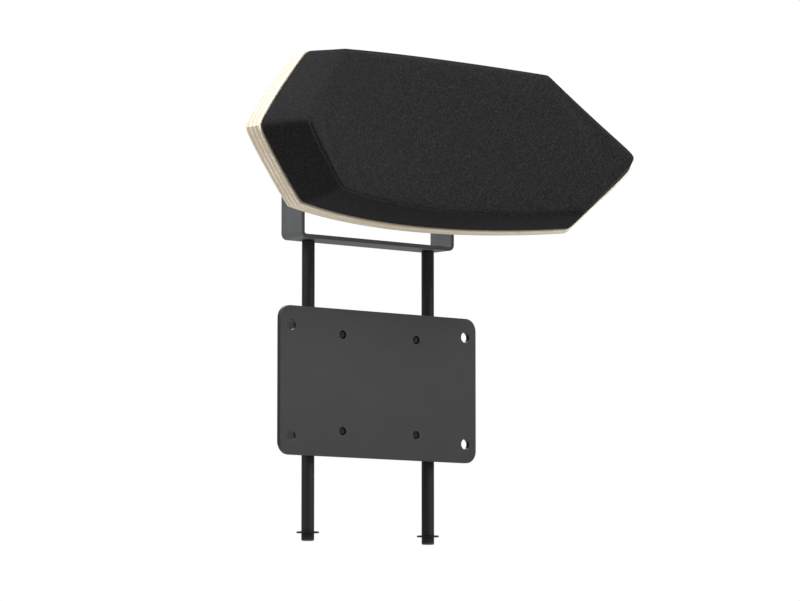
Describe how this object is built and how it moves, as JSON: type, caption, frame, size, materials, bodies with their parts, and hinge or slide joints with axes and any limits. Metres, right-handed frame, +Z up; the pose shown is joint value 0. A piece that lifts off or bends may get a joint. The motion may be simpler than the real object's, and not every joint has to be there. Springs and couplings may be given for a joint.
{
  "type": "chair headrest attachment",
  "caption": "Bolt-on chair headrest: curved six-sided pad on a plywood shell, tilting in a steel U-bracket on two posts that slide in a clamped guide housing.",
  "frame": {"origin": "centre of the mount plate's front face, which lies against the rear of the chair back", "axes": "+Z up along the posts, -Y forwards towards the sitter's head and out of the mount face, +X to the sitter's left, along the pad"},
  "size_m": [0.3142, 0.1449, 0.2997],
  "materials": {
    "black_plate": "black powder coat",
    "zinc_plate": "zinc plated",
    "zinc_fasteners": "zinc plated",
    "black_nylon": "fine moulded texture",
    "knob_cap": "satin",
    "acetal": "smooth satin",
    "brass": "turned",
    "black_screws": "black oxide",
    "grip_rubber": "matt",
    "black_rod": "black, satin",
    "graphite_bar": "graphite powder coat",
    "black_bracket": "black powder coat",
    "birch_plywood": "white-stained birch, lacquered",
    "panel_board": "raw board",
    "foam": "open-cell foam",
    "black_felt": "fulled wool weave"
  },
  "bodies": {
    "receiver": {"mount_plate": "black_plate", "guide_housing": "black_nylon", "bush_upper_left": "acetal", "bush_upper_right": "acetal", "bush_lower_left": "acetal", "bush_lower_right": "acetal", "rear_cover": "black_nylon", "thread_insert": "brass", "cover_screw_1": "black_screws", "cover_screw_2": "black_screws", "cover_screw_3": "black_screws", "cover_screw_4": "black_screws"},
    "clamp": {"clamp_bridge": "zinc_plate", "clamp_shoe_left": "grip_rubber", "clamp_shoe_right": "grip_rubber"},
    "knob": {"star_knob": "black_nylon", "knob_stud": "zinc_fasteners", "stud_clip": "black_screws", "knob_cap": "knob_cap"},
    "mast": {"post_left": "black_rod", "post_right": "black_rod", "stop_ring_left": "black_screws", "stop_ring_right": "black_screws", "u_bracket": "graphite_bar", "post_screw_left": "black_screws", "post_screw_right": "black_screws", "pivot_bolt_left": "black_screws", "pivot_bolt_right": "black_screws", "friction_disc_left": "acetal", "friction_disc_right": "acetal", "spring_washer_left": "zinc_fasteners", "spring_washer_right": "zinc_fasteners", "lock_nut_left": "zinc_fasteners", "lock_nut_right": "zinc_fasteners"},
    "pad": {"pad_bracket": "black_bracket", "bracket_screw_1": "black_screws", "bracket_screw_2": "black_screws", "bracket_screw_3": "black_screws", "bracket_screw_4": "black_screws", "tee_nut_1": "zinc_fasteners", "tee_nut_2": "zinc_fasteners", "tee_nut_3": "zinc_fasteners", "tee_nut_4": "zinc_fasteners", "panel_clip_1": "acetal", "panel_clip_2": "acetal", "panel_clip_3": "acetal", "panel_clip_4": "acetal", "headrest_shell": "birch_plywood", "cushion_panel": "panel_board", "foam_core": "foam", "fabric_cover": "black_felt"}
  },
  "joints": [
    {"name": "height", "type": "slide", "parent": "receiver", "child": "mast", "axis": [0, 0, 1], "range_m": [-0.035, 0.05]},
    {"name": "tilt", "type": "hinge", "parent": "mast", "child": "pad", "pos_m": [0, 0.011, 0.1383], "axis": [1, 0, 0], "range_deg": [-20, 20]},
    {"name": "clamp_slide", "type": "slide", "parent": "receiver", "child": "clamp", "axis": [0, 1, 0], "range_m": [0, 0.0025]},
    {"name": "knob_turn", "type": "hinge", "parent": "clamp", "child": "knob", "pos_m": [0, 0.035, 0], "axis": [0, 1, 0], "range_deg": [0, 720]}
  ],
  "couplings": [
    {"joint": "knob_turn", "follows": "clamp_slide", "rad_per_m": 5026.5}
  ]
}
